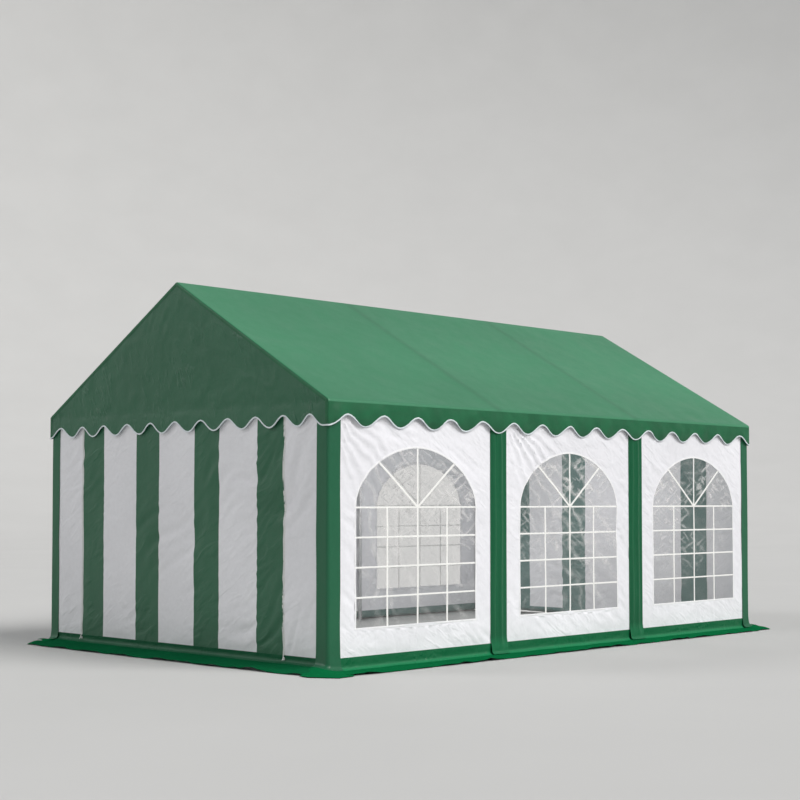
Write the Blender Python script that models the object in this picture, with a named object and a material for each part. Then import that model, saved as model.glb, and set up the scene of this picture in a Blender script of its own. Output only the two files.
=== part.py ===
"""A marquee of coated fabric over a steel tube frame, three bays long.

Metres, +Z up. The origin lies on the ground in the middle of the tent. The long sides face
+X (right) and -X (left), the gables face -Y (front) and +Y (back). Frames, posts, wall
panels and windows are numbered from the front to the back.
"""

import math

import bmesh
import bpy
from mathutils import Matrix, Vector

# Driving dimensions, metres
LENGTH = 6.0                 # over the outer faces of the gable walls
WIDTH = 3.76                 # over the outer faces of the long walls
BAYS = 3
EAVE_HEIGHT = 2.105          # outer edge of the roof, where the valance turns down
RIDGE_HEIGHT = 3.195
ROOF_OVERHANG = 0.02         # roof cover outside the wall faces, all round
SHEET = 0.004                # every fabric sheet
FILM = 0.002                 # clear window sheet
GAP = 0.0003                 # between pieces that touch
CUT_PAST = 0.01              # how far a bore's cutter runs past the end of the bore

# Scalloped valance
SCALLOP_LOW = 1.905
SCALLOP_HIGH = 1.99
SIDE_SCALLOPS = 15
GABLE_SCALLOPS = 11
STEPS_PER_SCALLOP = 8

# Walls
BAND_TOP = 0.108             # top of the green base band
WALL_TOP = 2.06
ZIP_X = 1.3785               # zips beside the door panel, from the middle of the gable
DOOR_TOP = 2.02

# Arched windows
WINDOW_HALF_WIDTH = 0.705
WINDOW_BOTTOM = 0.33
WINDOW_SPRING = 1.27
WINDOW_TOP = 1.75
WINDOW_LAP = 0.03            # film behind the wall sheet, all round
ARCH_POWER = 1.86            # 2 is an ellipse; less makes the arch leaner
ARCH_STEPS = 24

# Ground flap and base band
FLAP = 0.27                  # outside the wall face
CORNER_CUT = 0.19            # corner of the flap cut off at 45 degrees

# Covers over the posts
POST_COVER_HALF_WIDTH = 0.11
POST_COVER_BULGE = 0.009
BULGE_HALF_WIDTH = 0.045
BULGE_STEPS = 6
CORNER_COVER_WIDTH = 0.127
CORNER_RADIUS = 0.026
CORNER_STEPS = 5
COVER_BOTTOM = 0.03

# Steel tube frame
TUBE_RADIUS = 0.019
SLEEVE_RADIUS = 0.0225       # outside of the connectors' sleeves
TUBE_SIDES = 16
FOOT_SIDE = 0.11
FOOT_THICKNESS = 0.005
FOOT_REACH = 0.0195          # from the post's axis towards the wall sheets
POST_TOP = 2.055
SOCKET_BOTTOM = 1.93
SLEEVE_REACH = 0.08          # a purlin sleeve from the frame's plane
END_SLEEVE_REACH = 0.0215    # the same on the gable side of an end frame

HALF_LENGTH = LENGTH / 2
HALF_WIDTH = WIDTH / 2
EAVE_X = HALF_WIDTH + ROOF_OVERHANG
GABLE_Y = HALF_LENGTH + ROOF_OVERHANG
SLOPE = math.atan2(RIDGE_HEIGHT - EAVE_HEIGHT, EAVE_X)
# The posts stand where their sleeves touch the wall sheets from inside
POST_X = HALF_WIDTH - SHEET - GAP - SLEEVE_RADIUS
END_FRAME_Y = HALF_LENGTH - SHEET - GAP - SLEEVE_RADIUS
BAY = LENGTH / BAYS
FRAME_Y = [-END_FRAME_Y] + [BAY * i - HALF_LENGTH for i in range(1, BAYS)] + [END_FRAME_Y]
CORNER_INSET = CORNER_RADIUS - SHEET   # walls, bands and flaps end short of the corner
QUARTER = math.pi / 2

# Colour, roughness, metallic and alpha of each finish
FINISHES = {
    "green_cover": ((0.025, 0.13, 0.055), 0.45, 0.0, 1.0),
    "white_cover": ((0.80, 0.80, 0.82), 0.45, 0.0, 1.0),
    "window_film": ((0.75, 0.77, 0.77), 0.12, 0.0, 0.35),
    "steel": ((0.42, 0.43, 0.44), 0.35, 0.9, 1.0),
}


def clear_scene():
    for item in list(bpy.data.objects):
        bpy.data.objects.remove(item, do_unlink=True)


def finish(name, suffix):
    """A material of its own for one sub-part, in one of the tent's finishes."""
    colour, roughness, metallic, alpha = FINISHES[name]
    made = bpy.data.materials.new(f"{name}_{suffix}")
    made.use_nodes = True
    shader = made.node_tree.nodes["Principled BSDF"]
    shader.inputs["Base Color"].default_value = (*colour, 1.0)
    shader.inputs["Roughness"].default_value = roughness
    shader.inputs["Metallic"].default_value = metallic
    shader.inputs["Alpha"].default_value = alpha
    made.diffuse_color = (*colour, alpha)
    return made


def add_piece(name, mesh, finish_name, place=None):
    piece = bpy.data.objects.new(name, mesh)
    bpy.context.scene.collection.objects.link(piece)
    if place is not None:
        piece.matrix_world = place
    if mesh.materials:
        piece.material_slots[0].link = "OBJECT"
        piece.material_slots[0].material = finish(finish_name, name)
    else:
        mesh.materials.append(finish(finish_name, name))
    return piece


def mesh_of(bm, name):
    bmesh.ops.recalc_face_normals(bm, faces=bm.faces)
    mesh = bpy.data.meshes.new(name)
    bm.to_mesh(mesh)
    bm.free()
    return mesh


def loop_edges(bm, points):
    corners = [bm.verts.new(point) for point in points]
    return [bm.edges.new(pair) for pair in zip(corners, corners[1:] + corners[:1])]


def plate_mesh(name, outline, depth, holes=()):
    """A flat plate: an outline in space, with holes in the same plane, pushed along depth."""
    bm = bmesh.new()
    edges = loop_edges(bm, outline)
    for hole in holes:
        edges += loop_edges(bm, hole)
    filled = bmesh.ops.triangle_fill(bm, use_beauty=True, use_dissolve=False, edges=edges)
    faces = [item for item in filled["geom"] if isinstance(item, bmesh.types.BMFace)]
    pushed = bmesh.ops.extrude_face_region(bm, geom=faces)
    moved = [item for item in pushed["geom"] if isinstance(item, bmesh.types.BMVert)]
    bmesh.ops.translate(bm, verts=moved, vec=depth)
    return mesh_of(bm, name)


def shell_mesh(name, faces, outer, inner):
    """A closed body between an outer and an inner surface made of the same faces."""
    bm = bmesh.new()
    out = [bm.verts.new(point) for point in outer]
    back = [bm.verts.new(point) for point in inner]
    uses = {}
    for face in faces:
        bm.faces.new([out[i] for i in face])
        bm.faces.new([back[i] for i in reversed(face)])
        for start, end in zip(face, face[1:] + face[:1]):
            uses.setdefault(frozenset((start, end)), []).append((start, end))
    for pairs in uses.values():
        if len(pairs) == 1:
            start, end = pairs[0]
            bm.faces.new((out[end], out[start], back[start], back[end]))
    return mesh_of(bm, name)


def circle(radius):
    angles = [2 * math.pi * i / TUBE_SIDES for i in range(TUBE_SIDES)]
    return [Vector((radius * math.cos(angle), radius * math.sin(angle), 0.0)) for angle in angles]


def tube_solid(name, start, end, radius):
    """A round bar between two points. An upright or level one has corners towards the axes."""
    axis = end - start
    bar = plate_mesh(name, circle(radius), Vector((0.0, 0.0, axis.length)))
    turn = axis.to_track_quat("Z", "Y").to_matrix().to_4x4()
    bar.transform(Matrix.Translation(start) @ turn)
    return bar


def box_solid(name, low, high):
    corners = [(low.x, low.y), (high.x, low.y), (high.x, high.y), (low.x, high.y)]
    return plate_mesh(name, [(x, y, low.z) for x, y in corners], Vector((0.0, 0.0, high.z - low.z)))


def joined(name, solids, cuts=()):
    """One closed mesh from solids that overlap, less the cuts."""
    made = []
    for mesh in [*solids, *cuts]:
        item = bpy.data.objects.new(mesh.name, mesh)
        bpy.context.scene.collection.objects.link(item)
        made.append(item)
    base = made[0]
    for index, item in enumerate(made[1:], start=1):
        step = base.modifiers.new(f"step_{index}", "BOOLEAN")
        step.operation = "UNION" if index < len(solids) else "DIFFERENCE"
        step.solver = "EXACT"
        step.object = item
    bpy.context.view_layer.update()
    shaped = base.evaluated_get(bpy.context.evaluated_depsgraph_get())
    mesh = bpy.data.meshes.new_from_object(shaped)
    mesh.name = name
    for item in made:
        bpy.data.objects.remove(item, do_unlink=True)
    return mesh


# The roof's outer and inner surfaces

def roof_height(x):
    """Outer surface of the roof cover above a point x from the middle."""
    return RIDGE_HEIGHT - abs(x) * math.tan(SLOPE)


def below_roof(x, distance):
    """Height of a point that lies this far inside the outer surface, square to it."""
    return roof_height(x) - distance / math.cos(SLOPE)


def scallop_height(along, count, span):
    """Lower edge of the valance: a wave that is low at both ends of its span."""
    wave = math.cos(2 * math.pi * count * (along + span / 2) / span)
    middle = (SCALLOP_LOW + SCALLOP_HIGH) / 2
    return middle - wave * (SCALLOP_HIGH - SCALLOP_LOW) / 2


def scallop_points(count, span):
    """Places along the valance and the height of its lower edge there."""
    steps = count * STEPS_PER_SCALLOP
    places = [span * i / steps - span / 2 for i in range(steps + 1)]
    return [(place, scallop_height(place, count, span)) for place in places]


def roof_cover():
    """Both slopes and the two side valances, one sheet thickened inward."""
    half = GABLE_Y - SHEET - GAP
    bm = bmesh.new()
    ridge = [bm.verts.new((0.0, y, RIDGE_HEIGHT)) for y in (-half, half)]
    for side in (1, -1):
        eave = [bm.verts.new((side * EAVE_X, y, EAVE_HEIGHT)) for y in (-half, half)]
        hem = [bm.verts.new((side * EAVE_X, y, z)) for y, z in scallop_points(SIDE_SCALLOPS, 2 * half)]
        slope = [ridge[0], eave[0], eave[1], ridge[1]]
        valance = [eave[1], eave[0], *hem]
        bm.faces.new(slope if side > 0 else slope[::-1])
        bm.faces.new(valance if side > 0 else valance[::-1])
    mesh = bpy.data.meshes.new("roof_cover")
    bm.to_mesh(mesh)
    bm.free()
    cover = add_piece("roof_cover", mesh, "green_cover")
    thick = cover.modifiers.new("sheet", "SOLIDIFY")
    thick.thickness = SHEET
    thick.offset = -1.0
    thick.use_even_offset = True


def gables():
    """The triangle over each end wall, with its scalloped valance."""
    hem = scallop_points(GABLE_SCALLOPS, 2 * EAVE_X)
    rake = [(EAVE_X, EAVE_HEIGHT), (0.0, RIDGE_HEIGHT), (-EAVE_X, EAVE_HEIGHT)]
    outline = [(x, -GABLE_Y, z) for x, z in [*hem, *rake]]
    mesh = plate_mesh("gable", outline, Vector((0.0, SHEET, 0.0)))
    add_piece("front_gable", mesh, "green_cover")
    add_piece("back_gable", mesh, "green_cover", Matrix.Rotation(math.pi, 4, "Z"))


# Walls and windows

def window_outline(x, margin):
    """The arched outline in the plane x, this much larger than the hole on every side."""
    half = WINDOW_HALF_WIDTH + margin
    rise = WINDOW_TOP - WINDOW_SPRING + margin
    quarter = [QUARTER * i / (ARCH_STEPS // 2) for i in range(ARCH_STEPS // 2)]
    right = [
        (half * math.cos(angle) ** (2 / ARCH_POWER), rise * math.sin(angle) ** (2 / ARCH_POWER))
        for angle in quarter
    ]
    left = [(-across, up) for across, up in reversed(right)]
    arch = [(x, across, WINDOW_SPRING + up) for across, up in [*right, (0.0, rise), *left]]
    bottom = WINDOW_BOTTOM - margin
    return [*arch, (x, -half, bottom), (x, half, bottom)]


def side_walls():
    """Three white panels and their windows on each long side."""
    for bay in range(BAYS):
        middle = BAY * (bay + 0.5) - HALF_LENGTH
        low = -HALF_LENGTH + CORNER_INSET if bay == 0 else middle - BAY / 2 + GAP / 2
        high = HALF_LENGTH - CORNER_INSET if bay == BAYS - 1 else middle + BAY / 2 - GAP / 2
        corners = [(low, BAND_TOP + GAP), (high, BAND_TOP + GAP), (high, WALL_TOP), (low, WALL_TOP)]
        outline = [(HALF_WIDTH, y, z) for y, z in corners]
        hole = [(px, py + middle, pz) for px, py, pz in window_outline(HALF_WIDTH, 0.0)]
        wall = plate_mesh("side_wall", outline, Vector((-SHEET, 0.0, 0.0)), [hole])
        behind = HALF_WIDTH - SHEET - GAP
        pane = [(px, py + middle, pz) for px, py, pz in window_outline(behind, WINDOW_LAP)]
        film = plate_mesh("window", pane, Vector((-FILM, 0.0, 0.0)))
        turned = Matrix.Rotation(math.pi, 4, "Z")
        mirrored = BAYS - bay
        add_piece(f"right_wall_{bay + 1}", wall, "white_cover")
        add_piece(f"left_wall_{mirrored}", wall, "white_cover", turned)
        add_piece(f"right_window_{bay + 1}", film, "window_film")
        add_piece(f"left_window_{mirrored}", film, "window_film", turned)


def end_walls():
    """A white frame of two side strips and a header, and the door panel zipped into it."""
    y = -HALF_LENGTH
    edge = HALF_WIDTH - CORNER_INSET
    bottom = BAND_TOP + GAP
    zip_x = ZIP_X + GAP
    header = DOOR_TOP + GAP
    inner = [(-zip_x, bottom), (-zip_x, header), (zip_x, header), (zip_x, bottom)]
    outer = [(edge, bottom), (edge, WALL_TOP), (-edge, WALL_TOP), (-edge, bottom)]
    panel = [(-ZIP_X, bottom), (ZIP_X, bottom), (ZIP_X, DOOR_TOP), (-ZIP_X, DOOR_TOP)]
    wall = plate_mesh("end_wall", [(x, y, z) for x, z in [*inner, *outer]], Vector((0.0, SHEET, 0.0)))
    door = plate_mesh("door_panel", [(x, y, z) for x, z in panel], Vector((0.0, SHEET, 0.0)))
    for end, place in (("front", Matrix.Identity(4)), ("back", Matrix.Rotation(math.pi, 4, "Z"))):
        add_piece(f"{end}_wall", wall, "white_cover", place)
        add_piece(f"{end}_door_panel", door, "white_cover", place)


# Base band and ground flap

def bands_and_flaps():
    """The band under the walls of each side, and the flap on the ground outside it."""
    for sides, half_run, face, turns in (
        (("right", "left"), HALF_LENGTH - CORNER_INSET, HALF_WIDTH, (0.0, math.pi)),
        (("front", "back"), HALF_WIDTH - CORNER_INSET, HALF_LENGTH, (-QUARTER, QUARTER)),
    ):
        spans = {
            "base_band": (face - SHEET, face, BAND_TOP),
            "ground_flap": (face + GAP, face + FLAP, SHEET),
        }
        for kind, (inner, outer, top) in spans.items():
            mesh = box_solid(kind, Vector((inner, -half_run, 0.0)), Vector((outer, half_run, top)))
            for side, turn in zip(sides, turns):
                add_piece(f"{side}_{kind}", mesh, "green_cover", Matrix.Rotation(turn, 4, "Z"))


# Covers over the posts

def middle_covers():
    """A strip with a round bulge over each middle post, outside the wall sheets."""
    back = HALF_WIDTH + GAP
    front = back + SHEET
    bulge = []
    for i in range(BULGE_STEPS + 1):
        share = 2 * i / BULGE_STEPS - 1
        rise = POST_COVER_BULGE * math.cos(QUARTER * share) ** 2
        bulge.append((front + rise, share * BULGE_HALF_WIDTH))
    half = POST_COVER_HALF_WIDTH
    section = [(back, half), (back, -half), (front, -half), *bulge, (front, half)]
    outline = [(x, y, COVER_BOTTOM) for x, y in section]
    mesh = plate_mesh("post_cover", outline, Vector((0.0, 0.0, WALL_TOP - COVER_BOTTOM)))
    for number in range(2, BAYS + 1):
        y = FRAME_Y[number - 1]
        add_piece(f"right_post_cover_{number}", mesh, "green_cover", Matrix.Translation((0.0, y, 0.0)))
        place = Matrix.Translation((0.0, y, 0.0)) @ Matrix.Rotation(math.pi, 4, "Z")
        add_piece(f"left_post_cover_{number}", mesh, "green_cover", place)


def corner_cover_mesh():
    """A strip bent round the corner, with the corner piece of the ground flap at its foot.

    The corner of the walls is the origin here, and the tent lies towards -X and +Y.
    """
    outer = SHEET + GAP
    centre = outer - CORNER_RADIUS
    rim = [(centre, -FLAP), (FLAP - CORNER_CUT, -FLAP), (FLAP, CORNER_CUT - FLAP), (FLAP, -centre)]
    surfaces = []
    for face, radius, foot_height in ((outer, CORNER_RADIUS, SHEET), (GAP, CORNER_RADIUS - SHEET, 0.0)):
        angles = [-QUARTER + QUARTER * i / CORNER_STEPS for i in range(CORNER_STEPS + 1)]
        bend = [(centre + radius * math.cos(a), -centre + radius * math.sin(a)) for a in angles]
        strip = [(-CORNER_COVER_WIDTH, -face), *bend, (face, CORNER_COVER_WIDTH)]
        surfaces.append([
            *[(x, y, COVER_BOTTOM) for x, y in strip],
            *[(x, y, WALL_TOP) for x, y in strip],
            *[(x, y, foot_height) for x, y in bend],
            *[(x, y, foot_height) for x, y in rim],
        ])
    columns = CORNER_STEPS + 3
    foot = 2 * columns
    rim_start = foot + CORNER_STEPS + 1
    faces = [[i, i + 1, columns + i + 1, columns + i] for i in range(columns - 1)]
    faces += [[foot + i, foot + i + 1, i + 2, i + 1] for i in range(CORNER_STEPS)]
    faces.append([*range(rim_start, rim_start + len(rim)), *range(rim_start - 1, foot - 1, -1)])
    return shell_mesh("corner_cover", faces, *surfaces)


def corner_covers():
    mesh = corner_cover_mesh()
    corners = {
        "front_right": (HALF_WIDTH, -HALF_LENGTH, 0.0),
        "back_right": (HALF_WIDTH, HALF_LENGTH, QUARTER),
        "back_left": (-HALF_WIDTH, HALF_LENGTH, math.pi),
        "front_left": (-HALF_WIDTH, -HALF_LENGTH, -QUARTER),
    }
    for name, (x, y, angle) in corners.items():
        place = Matrix.Translation((x, y, 0.0)) @ Matrix.Rotation(angle, 4, "Z")
        add_piece(f"corner_cover_{name}", mesh, "green_cover", place)


# Steel frame

def post_mesh(name, inward_x, inward_y):
    """A post on its axis, on a foot plate that reaches inward from the wall sheets."""
    inset = FOOT_SIDE / 2 - FOOT_REACH
    centre = Vector((-inward_x * inset, inward_y * inset, 0.0))
    half = Vector((FOOT_SIDE / 2, FOOT_SIDE / 2, 0.0))
    plate = box_solid("foot", centre - half, centre + half + Vector((0.0, 0.0, FOOT_THICKNESS)))
    low = Vector((0.0, 0.0, FOOT_THICKNESS / 2))
    tube = tube_solid("tube", low, Vector((0.0, 0.0, POST_TOP)), TUBE_RADIUS)
    return joined(name, [plate, tube])


def posts():
    corner = post_mesh("corner_post", 1, 1)
    middle = post_mesh("middle_post", 1, 0)
    last = len(FRAME_Y)
    for number, y in enumerate(FRAME_Y, start=1):
        if number in (1, last):
            right_turn = 0.0 if number == 1 else QUARTER
            left_turn = -QUARTER if number == 1 else math.pi
            mesh = corner
        else:
            right_turn = 0.0
            left_turn = math.pi
            mesh = middle
        for side, x, turn in (("right", POST_X, right_turn), ("left", -POST_X, left_turn)):
            place = Matrix.Translation((x, y, 0.0)) @ Matrix.Rotation(turn, 4, "Z")
            add_piece(f"{side}_post_{number}", mesh, "steel", place)


def purlin_heights():
    """Heights of the ridge purlin and the eave purlins: their sleeves just clear the roof cover."""
    inside = SHEET + GAP + SLEEVE_RADIUS
    return below_roof(0.0, inside), below_roof(POST_X, inside)


def roof_frame_mesh(name, front_reach, back_reach):
    """Two rafters with the ridge sleeve, the eave sleeves and the sockets for two posts."""
    ridge_z, eave_z = purlin_heights()
    rafter_depth = SHEET + GAP + TUBE_RADIUS
    past_ridge = TUBE_RADIUS / 2
    rafter_top = below_roof(0.0, rafter_depth) + past_ridge * math.tan(SLOPE)
    bore = TUBE_RADIUS + GAP
    solids = []
    cuts = []
    for side in (1, -1):
        foot = Vector((side * POST_X, 0.0, below_roof(POST_X, rafter_depth)))
        top = Vector((-side * past_ridge, 0.0, rafter_top))
        solids.append(tube_solid("rafter", foot, top, TUBE_RADIUS))
    for x, z in ((0.0, ridge_z), (POST_X, eave_z), (-POST_X, eave_z)):
        front, back = Vector((x, -front_reach, z)), Vector((x, back_reach, z))
        past = Vector((0.0, CUT_PAST, 0.0))
        solids.append(tube_solid("sleeve", front, back, SLEEVE_RADIUS))
        cuts.append(tube_solid("bore", front - past, back + past, bore))
    for x in (POST_X, -POST_X):
        mouth = Vector((x, 0.0, SOCKET_BOTTOM))
        past = Vector((0.0, 0.0, CUT_PAST))
        solids.append(tube_solid("socket", mouth, Vector((x, 0.0, eave_z)), SLEEVE_RADIUS))
        cuts.append(tube_solid("post_bore", mouth - past, Vector((x, 0.0, POST_TOP + GAP)), bore))
    return joined(name, solids, cuts)


def roof_frames():
    end = roof_frame_mesh("end_roof_frame", END_SLEEVE_REACH, SLEEVE_REACH)
    middle = roof_frame_mesh("middle_roof_frame", SLEEVE_REACH, SLEEVE_REACH)
    last = len(FRAME_Y)
    for number, y in enumerate(FRAME_Y, start=1):
        mesh = end if number in (1, last) else middle
        turn = math.pi if number == last else 0.0
        place = Matrix.Translation((0.0, y, 0.0)) @ Matrix.Rotation(turn, 4, "Z")
        add_piece(f"roof_frame_{number}", mesh, "steel", place)


def purlins():
    ridge_z, eave_z = purlin_heights()
    half = END_FRAME_Y + END_SLEEVE_REACH
    for name, x, z in (("ridge_purlin", 0.0, ridge_z), ("right_eave_purlin", POST_X, eave_z),
                       ("left_eave_purlin", -POST_X, eave_z)):
        mesh = tube_solid(name, Vector((x, -half, z)), Vector((x, half, z)), TUBE_RADIUS)
        add_piece(name, mesh, "steel")


def build():
    clear_scene()
    roof_cover()
    gables()
    side_walls()
    end_walls()
    bands_and_flaps()
    middle_covers()
    corner_covers()
    posts()
    roof_frames()
    purlins()


build()
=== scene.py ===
import math

import bmesh
import bpy
from mathutils import Matrix, Vector, noise
from mathutils.geometry import delaunay_2d_cdt


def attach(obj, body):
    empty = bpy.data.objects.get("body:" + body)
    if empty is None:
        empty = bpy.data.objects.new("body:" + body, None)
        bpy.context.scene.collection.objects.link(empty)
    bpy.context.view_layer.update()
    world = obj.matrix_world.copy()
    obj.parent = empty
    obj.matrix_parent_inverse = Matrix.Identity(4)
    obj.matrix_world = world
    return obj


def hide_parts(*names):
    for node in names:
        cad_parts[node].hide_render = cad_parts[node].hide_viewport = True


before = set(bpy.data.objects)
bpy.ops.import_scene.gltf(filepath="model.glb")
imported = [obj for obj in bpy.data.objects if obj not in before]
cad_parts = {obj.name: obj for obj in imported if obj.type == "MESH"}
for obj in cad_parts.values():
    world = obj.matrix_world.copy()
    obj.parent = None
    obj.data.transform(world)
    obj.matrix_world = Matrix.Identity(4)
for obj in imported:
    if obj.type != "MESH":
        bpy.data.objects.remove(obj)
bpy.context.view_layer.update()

# A marquee of green and white coated fabric. Metres, +Z up, the origin on the ground in the middle.
# The long sides face +X (right) and -X (left), the gables -Y (front) and +Y (back). Everything is
# made for the right side and the front, and turned half round for the left side and the back.

noise.seed_set(7)              # without it noise_vector starts from the clock, and each run differs

# Sizes shared with the solids
HALF_LENGTH = 3.0
HALF_WIDTH = 1.88
EAVE_X = 1.90
GABLE_Y = 3.02
EAVE_HEIGHT = 2.105
RIDGE_HEIGHT = 3.195
SLOPE = math.atan2(RIDGE_HEIGHT - EAVE_HEIGHT, EAVE_X)
WALL_TOP = 2.06
BAND_TOP = 0.108
ZIP_X = 1.3785
DOOR_TOP = 2.02
POST_Y = 1.0                   # the middle posts stand this far from the tent's middle
WINDOW_HALF = 0.705
WINDOW_SILL = 0.33
WINDOW_SPRING = 1.27
WINDOW_RISE = 0.48
FLAP = 0.27
COVER_HALF = 0.11
CORNER_WIDTH = 0.127
CORNER_RADIUS = 0.026
COVER_OUT = 0.0043             # outer face of the corner covers, from the wall faces

# Each as along the sides of the tent, then as at its ends
CREASES = (0.014, 0.046)       # height at which the flap leaves the band
BENDS = (0.036, 0.036)         # radius of the bend between them

# Fabric
CLOTH = 0.0018
FILM = 0.0008
TAPE = 0.001
GAP = 0.0003                   # between sheets that lie on each other
WALL_FOOT = BAND_TOP - 0.012   # the walls run on down behind the base band
COVERED = 0.022                # and sideways behind the corner covers
SCALLOP_LOW = 1.900
SCALLOP_HIGH = 1.990
VALANCE_TOP = 2.085            # where the eave's bend begins
VALANCE_LEAN = 0.011           # how far its lower edge hangs in towards the long walls
VALANCE_ROWS = 9
UPPER_ROWS = 34                # rows of the gable sheet, and of a slope, above them
LOBE_ROUNDNESS = 0.05          # 0 makes peaks and lobes alike; more makes the lobes broader
SCALLOP_STEPS = 12
BIND_WIDTH = 0.0125
BIND_THICK = 0.0050
BEND = 0.016                   # bend of the roof over the rake and down the corners
ROOF_BEND = 0.03               # and over the ridge and the eaves
LAP = 0.017                    # roof sheet sewn onto the gable sheet
WHITE_STRIPE = 0.483
GREEN_STRIPE = 0.327
BORDER_WIDTH = 0.0155
UPRIGHT_WIDTH = 0.0190
ROW_WIDTH = 0.0140
BAR_ROWS = 4
FILM_LAP = 0.03                # the film is this much larger than its window all round
SEAM = {"Pitch": 0.012, "Length": 0.008}
PULL_LENGTH = 0.036
ARCH_POWER = 1.86              # an arch a little leaner than an ellipse
RAY_TIP = (0.628, 0.747)       # where the rays meet the arch, in shares of its half width and rise

# Lowest points of the scallops: five to a bay, with a wider one at each side of a post
BAY_SHARES = (0.0, 0.205, 0.4, 0.595, 0.795)
SIDE_BAYS = (-GABLE_Y, -1.02, 0.98, GABLE_Y)
SIDE_LOWS = [
    start + (end - start) * share
    for start, end in zip(SIDE_BAYS, SIDE_BAYS[1:]) for share in BAY_SHARES
] + [GABLE_Y]
GABLE_LOWS = [-EAVE_X, -1.525, -1.207, -0.862, -0.506, -0.183, 0.175, 0.519, 0.877, 1.217, 1.551, 1.84,
              EAVE_X]
FLAT_LOW = 0.1                 # a shorter interval than this is a flat low, round a corner

HALF_TURN = Matrix.Rotation(math.pi, 4, "Z")
STRAIGHT = Matrix.Identity(4)


# Small helpers

def soft(share):
    """A smooth step from 0 to 1."""
    share = min(max(share, 0.0), 1.0)
    return share * share * (3 - 2 * share)


def hump(value, middle, width):
    """1 at the middle, falling smoothly to 0 on both sides."""
    return math.exp(-(((value - middle) / width) ** 2))


def blend(low, high, share):
    return low + (high - low) * share


def spaced(start, end, steps):
    """Values from start to end, both included."""
    return [blend(start, end, i / steps) for i in range(steps + 1)]


def grain(a, b, size, seed):
    """Smooth noise over a sheet, from -1 to 1, in lumps of about this size."""
    return noise.noise(Vector((a / size, b / size, seed * 3.71)))


def packing_creases(a, b, size, seed):
    """Crossing creases of a sheet that was folded up: 1 on a crease, 0 between."""
    place = Vector((a / size, b / size, seed * 5.13))
    place = place + 0.4 * noise.noise_vector(place * 0.8)
    return 1.0 - min(1.0, abs(noise.noise(place)) * 3.0)


def pull_folds(a, b, fan, seed):
    """Folds that run out like a fan from the place where the sheet is pulled."""
    from_a, from_b, aim, spread, folds, reach, depth = fan
    away_a, away_b = a - from_a, b - from_b
    far = math.hypot(away_a, away_b)
    if far < 1e-6:
        return 0.0
    turn = math.degrees(math.atan2(away_b, away_a)) - aim
    turn = (turn + 180.0) % 360.0 - 180.0
    if abs(turn) > spread:
        return 0.0
    fade = math.cos(math.pi / 2 * turn / spread) * soft(far / 0.30) * hump(far, 0.0, reach)
    drift = grain(a, b, 0.34, seed) + 0.4 * grain(a, b, 0.11, seed + 1)
    wave = math.sin(folds * math.pi * turn / spread + drift * 2.0)
    crest = 1.0 - 2.0 * math.sqrt(wave * wave + 0.02)
    return depth * fade * min(1.0, far / 0.45) * crest


def fan_folds(a, b, fans, seed):
    return sum(pull_folds(a, b, fan, seed + i) for i, fan in enumerate(fans))


def slanted_folds(a, b, slant, width, seed):
    """Long soft folds that all run at about this angle, some here and some there, from -1 to 1."""
    angle = math.radians(slant) + 0.35 * noise.noise(Vector((a * 1.1, b * 1.1, seed * 2.3)))
    along = a * math.cos(angle) + b * math.sin(angle)
    across = b * math.cos(angle) - a * math.sin(angle)
    fold = noise.noise(Vector((along / (4.5 * width), across / width, seed * 1.7)))
    patch = soft(0.5 + 1.6 * noise.noise(Vector((a / 0.7, b / 0.7, seed * 4.1 + 9.0))))
    return (1.0 - 3.2 * math.sqrt(fold * fold + 0.006)) * patch


def scallop_edge(along, lows):
    """Height of the valance's lower edge, a wave between its lowest points."""
    along = min(max(along, lows[0]), lows[-1])
    for start, end in zip(lows, lows[1:]):
        if along <= end + 1e-9:
            if end - start < FLAT_LOW:
                return SCALLOP_LOW
            turn = 2 * math.pi * (along - start) / (end - start)
            share = (1 - math.cos(turn)) / 2 - LOBE_ROUNDNESS * (1 - math.cos(2 * turn)) / 2
            return blend(SCALLOP_LOW, SCALLOP_HIGH, share)
    return SCALLOP_LOW


def scallop_places(lows):
    """Places along the valance with the same number of steps in every scallop."""
    places = []
    for start, end in zip(lows, lows[1:]):
        places += spaced(start, end, SCALLOP_STEPS if end - start > FLAT_LOW else 2)[:-1]
    return [*places, lows[-1]]


def valance_swell(along, height, lows, seed, belly=0.011, clear=0.005):
    """How far the valance stands out: it hangs clear of the wall, and its middle swells in patches."""
    hang = min(max((VALANCE_TOP - height) / (VALANCE_TOP - SCALLOP_LOW), 0.0), 1.0)
    patch = 1.0 + 1.1 * grain(along, 0.0, 0.15, seed) + 0.5 * grain(along, height, 0.07, seed + 1)
    swell = belly * 4 * hang * (1 - hang) * max(0.1, patch)
    stand = clear * (1.0 + 0.8 * grain(along, height, 0.12, seed + 4)) * soft(hang * 1.4)
    return soft((lows[-1] - abs(along)) / 0.10) * (swell + stand)


def roof_height(x):
    return RIDGE_HEIGHT - abs(x) * math.tan(SLOPE)


# Meshes

def new_mesh(points, edges, faces):
    mesh = bpy.data.meshes.new("made")
    mesh.from_pydata([tuple(point) for point in points], edges, faces)
    return mesh


def lay_flat(mesh, places):
    """Gives a sheet its UV map: each point's place on the uncut cloth, in metres."""
    cut = mesh.uv_layers.new(name="cut")
    for loop in mesh.loops:
        cut.data[loop.index].uv = places[loop.vertex_index]
    return mesh


def run_along(points):
    """How far along a line each of its points lies."""
    run = [0.0]
    for start, end in zip(points, points[1:]):
        run.append(run[-1] + (Vector(end) - Vector(start)).length)
    return run


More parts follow.
